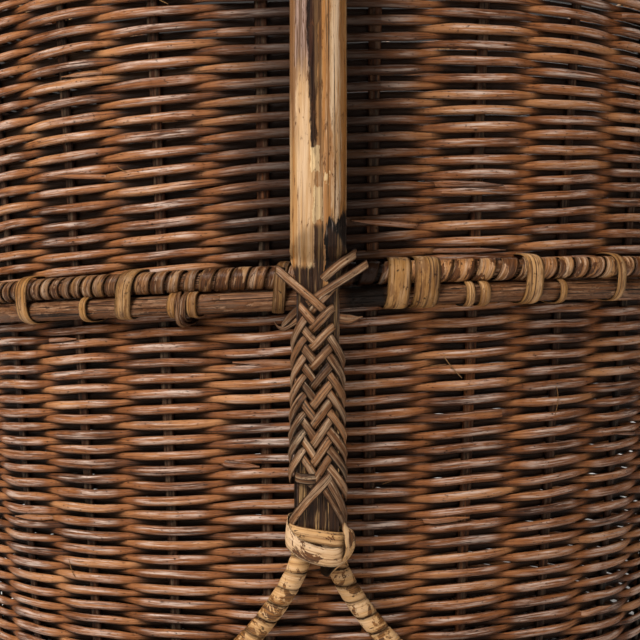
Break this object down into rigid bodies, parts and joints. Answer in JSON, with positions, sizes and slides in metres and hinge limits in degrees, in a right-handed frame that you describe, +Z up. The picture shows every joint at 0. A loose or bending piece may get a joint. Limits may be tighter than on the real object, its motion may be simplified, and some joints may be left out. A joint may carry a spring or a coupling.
{
  "type": "handled wicker basket",
  "caption": "Tall round wicker basket of woven rattan splits, with a lashed belt, hooped rim, foot ring and a bent-pole hoop handle on splayed legs.",
  "frame": {"origin": "centre of the footprint, on the plane the foot ring stands on", "axes": "+Z up, -Y towards the front end of the hoop handle, which spans from front to rear, +X to the right seen from the front"},
  "size_m": [0.549, 0.6116, 0.8047],
  "materials": {
    "foot_rod": "round rattan rod, worn flat underneath, dark with age",
    "foot_peel": "split rattan peel",
    "warp_lower": "flat rattan splits",
    "warp_upper": "flat rattan splits",
    "base_weft": "woven flat rattan splits, satin peel",
    "lower_weft": "woven flat rattan splits, satin peel",
    "upper_weft": "woven flat rattan splits, satin peel",
    "belt_core": "round rattan rod",
    "belt_peel": "rattan peel wound in a coil",
    "belt_rod": "bare round rattan rod with bark remains",
    "belt_lashing": "split rattan peel",
    "rim_outer": "round rattan rod",
    "rim_inner": "round rattan rod",
    "rim_cane": "round rattan cane",
    "rim_peel": "split rattan peel",
    "pole": "peeled pale cane pole with bark streaks, satin",
    "leg_foot_peel": "split rattan peel",
    "front_plait": "herringbone plait of flat rattan splits",
    "front_collar": "pale rattan peel wound round",
    "front_straps": "split rattan peel",
    "front_rim_tie": "split rattan peel",
    "front_left_cane": "round rattan cane",
    "front_left_peel": "pale rattan peel wound in a coil",
    "front_right_cane": "round rattan cane",
    "front_right_peel": "pale rattan peel wound in a coil",
    "rear_plait": "herringbone plait of flat rattan splits",
    "rear_collar": "pale rattan peel wound round",
    "rear_straps": "split rattan peel",
    "rear_rim_tie": "split rattan peel",
    "rear_left_cane": "round rattan cane",
    "rear_left_peel": "pale rattan peel wound in a coil",
    "rear_right_cane": "round rattan cane",
    "rear_right_peel": "pale rattan peel wound in a coil"
  },
  "bodies": {
    "root": {"foot_ring": "foot_rod", "foot_lashings": "foot_peel", "warp_splits_lower": "warp_lower", "warp_splits_upper": "warp_upper", "base_weave": "base_weft", "lower_weave": "lower_weft", "upper_weave": "upper_weft", "belt_upper_rod": "belt_core", "belt_wrap": "belt_peel", "belt_lower_rod": "belt_rod", "belt_lashings": "belt_lashing", "rim_outer_hoop": "rim_outer", "rim_inner_hoop": "rim_inner", "rim_top_cane": "rim_cane", "rim_lashings": "rim_peel", "handle_pole": "pole", "leg_foot_lashings": "leg_foot_peel", "front_plait": "front_plait", "front_collar": "front_collar", "front_cross_straps": "front_straps", "front_rim_tie": "front_rim_tie", "front_left_leg": "front_left_cane", "front_left_leg_wrap": "front_left_peel", "front_right_leg": "front_right_cane", "front_right_leg_wrap": "front_right_peel", "rear_plait": "rear_plait", "rear_collar": "rear_collar", "rear_cross_straps": "rear_straps", "rear_rim_tie": "rear_rim_tie", "rear_left_leg": "rear_left_cane", "rear_left_leg_wrap": "rear_left_peel", "rear_right_leg": "rear_right_cane", "rear_right_leg_wrap": "rear_right_peel"}
  },
  "joints": []
}
